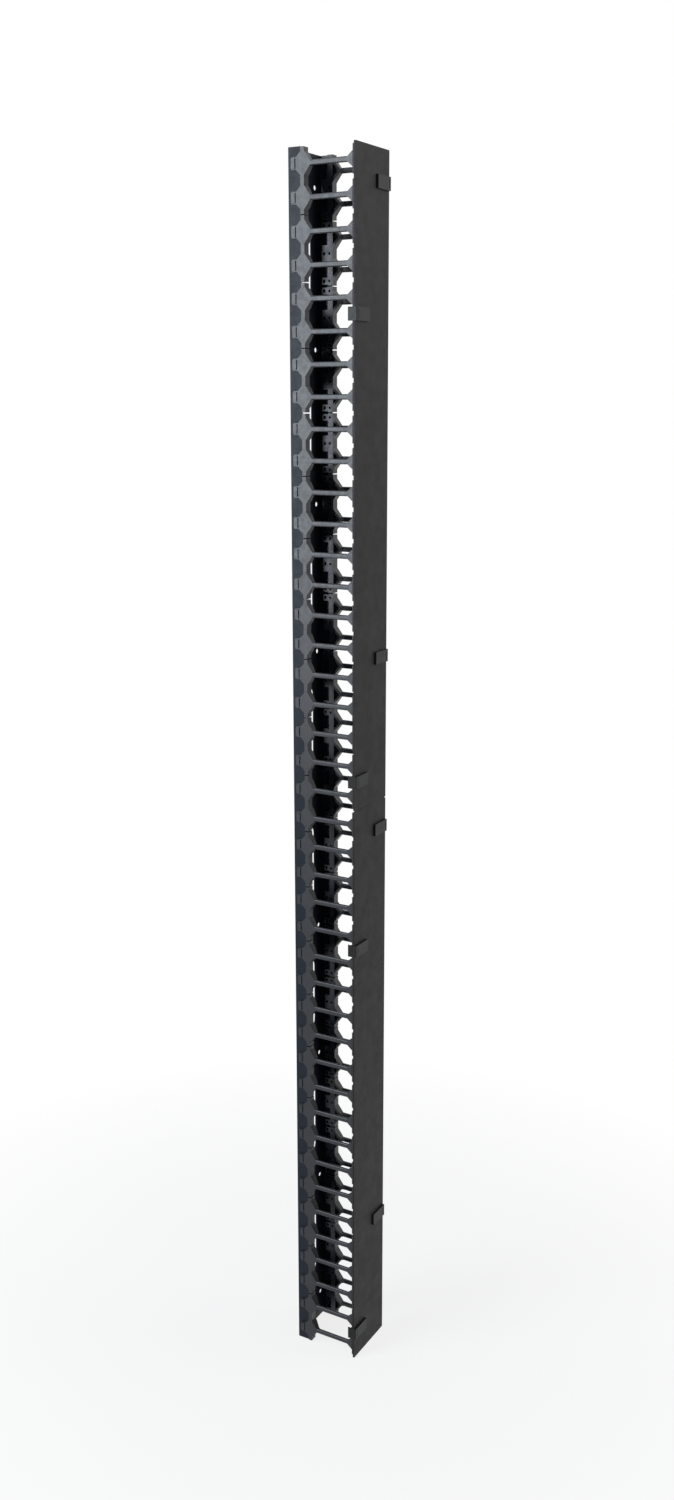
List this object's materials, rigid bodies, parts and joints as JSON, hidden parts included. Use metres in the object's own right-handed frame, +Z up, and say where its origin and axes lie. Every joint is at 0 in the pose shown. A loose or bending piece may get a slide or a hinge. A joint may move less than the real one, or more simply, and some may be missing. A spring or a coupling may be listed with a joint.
{
  "type": "vertical cable manager",
  "caption": "Tall finger-duct cable manager for a rack's side: steel rear channel, moulded finger combs on both sides and hinged clip-on front covers.",
  "frame": {"origin": "middle of the rear channel's flat rear face, at mid-height", "axes": "+X to the right as seen from the covers, +Y out of the rear face towards the rack, +Z up"},
  "size_m": [0.098, 0.112, 1.8668],
  "materials": {
    "channel_steel": "satin black powder coat",
    "comb_plastic": "fine matt black moulding",
    "cover_plastic": "fine-textured matt black extrusion",
    "clip_plastic": "satin black moulding"
  },
  "bodies": {
    "channel_and_combs": {"rear_channel": "channel_steel", "finger_comb_left_01": "comb_plastic", "finger_comb_left_02": "comb_plastic", "finger_comb_left_03": "comb_plastic", "finger_comb_left_04": "comb_plastic", "finger_comb_left_05": "comb_plastic", "finger_comb_left_06": "comb_plastic", "finger_comb_left_07": "comb_plastic", "finger_comb_left_08": "comb_plastic", "finger_comb_left_09": "comb_plastic", "finger_comb_left_10": "comb_plastic", "finger_comb_left_11": "comb_plastic", "finger_comb_left_12": "comb_plastic", "finger_comb_left_13": "comb_plastic", "finger_comb_left_14": "comb_plastic", "finger_comb_left_15": "comb_plastic", "finger_comb_left_16": "comb_plastic", "finger_comb_left_17": "comb_plastic", "finger_comb_left_18": "comb_plastic", "finger_comb_left_19": "comb_plastic", "finger_comb_left_20": "comb_plastic", "finger_comb_left_21": "comb_plastic", "finger_comb_right_01": "comb_plastic", "finger_comb_right_02": "comb_plastic", "finger_comb_right_03": "comb_plastic", "finger_comb_right_04": "comb_plastic", "finger_comb_right_05": "comb_plastic", "finger_comb_right_06": "comb_plastic", "finger_comb_right_07": "comb_plastic", "finger_comb_right_08": "comb_plastic", "finger_comb_right_09": "comb_plastic", "finger_comb_right_10": "comb_plastic", "finger_comb_right_11": "comb_plastic", "finger_comb_right_12": "comb_plastic", "finger_comb_right_13": "comb_plastic", "finger_comb_right_14": "comb_plastic", "finger_comb_right_15": "comb_plastic", "finger_comb_right_16": "comb_plastic", "finger_comb_right_17": "comb_plastic", "finger_comb_right_18": "comb_plastic", "finger_comb_right_19": "comb_plastic", "finger_comb_right_20": "comb_plastic", "finger_comb_right_21": "comb_plastic"},
    "upper_door": {"upper_cover": "cover_plastic", "upper_left_clip_1": "clip_plastic", "upper_left_clip_2": "clip_plastic", "upper_right_clip_1": "clip_plastic", "upper_right_clip_2": "clip_plastic"},
    "lower_door": {"lower_cover": "cover_plastic", "lower_left_clip_1": "clip_plastic", "lower_left_clip_2": "clip_plastic", "lower_right_clip_1": "clip_plastic", "lower_right_clip_2": "clip_plastic"}
  },
  "joints": [
    {"name": "upper_cover_hinge", "type": "hinge", "parent": "channel_and_combs", "child": "upper_door", "pos_m": [0.04365, -0.10355, 0.46673], "axis": [0, 0, 1], "range_deg": [0, 100]},
    {"name": "lower_cover_hinge", "type": "hinge", "parent": "channel_and_combs", "child": "lower_door", "pos_m": [0.04365, -0.10355, -0.46673], "axis": [0, 0, 1], "range_deg": [0, 100]}
  ]
}
